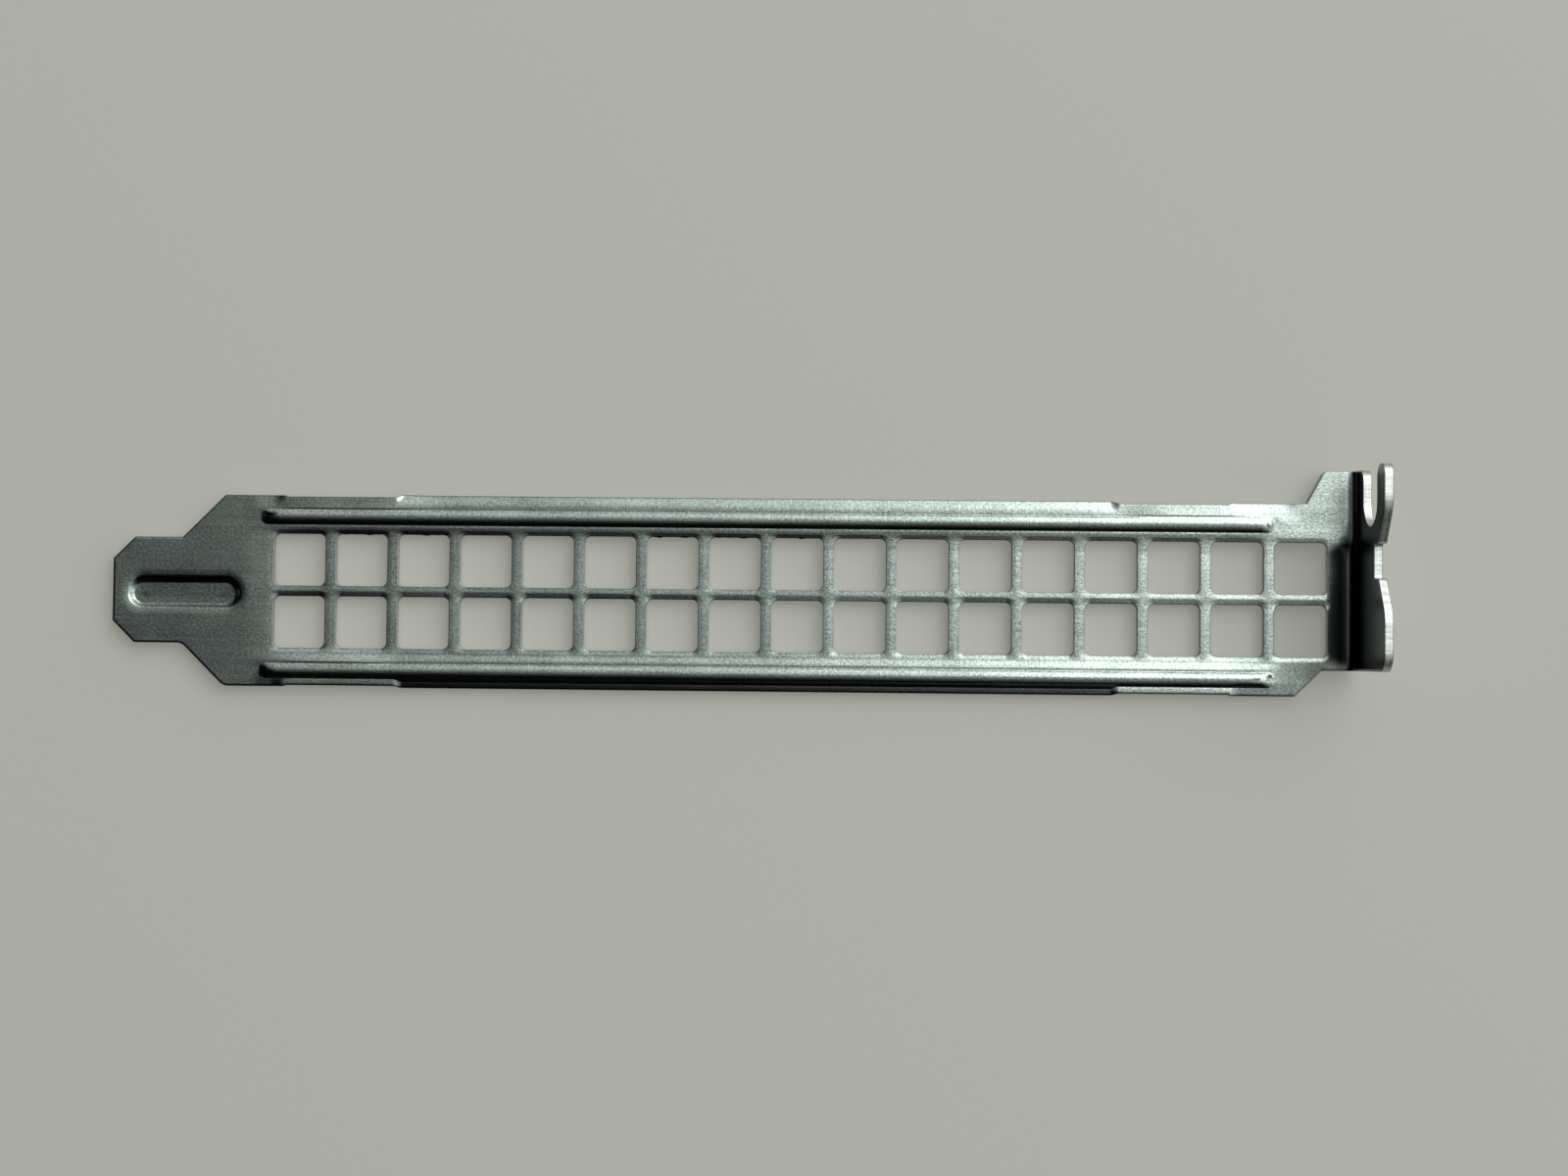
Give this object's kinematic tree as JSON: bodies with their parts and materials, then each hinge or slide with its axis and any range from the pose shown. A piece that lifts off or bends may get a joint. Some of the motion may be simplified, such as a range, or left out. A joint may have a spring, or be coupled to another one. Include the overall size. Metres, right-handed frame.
{
  "type": "pci slot cover bracket",
  "caption": "Full-height ventilated expansion slot cover: a flat blade with square vents, stiffening beads, bent contact lips, a ribbed tongue and a folded screw flange with an open notch.",
  "frame": {"origin": "on the blade's back face, on its centreline, in the middle of the field of vents", "axes": "+X along the blade from the tongue to the screw flange, +Y across the blade to the flange's high side where the notch opens, +Z out of the front face, the way the flange stands"},
  "size_m": [0.12, 0.0216, 0.0119],
  "materials": {
    "zinc_plated_steel": "satin zinc-plated sheet with a fine rolled grain"
  },
  "bodies": {
    "root": {"slot_cover": "zinc_plated_steel"}
  },
  "joints": []
}
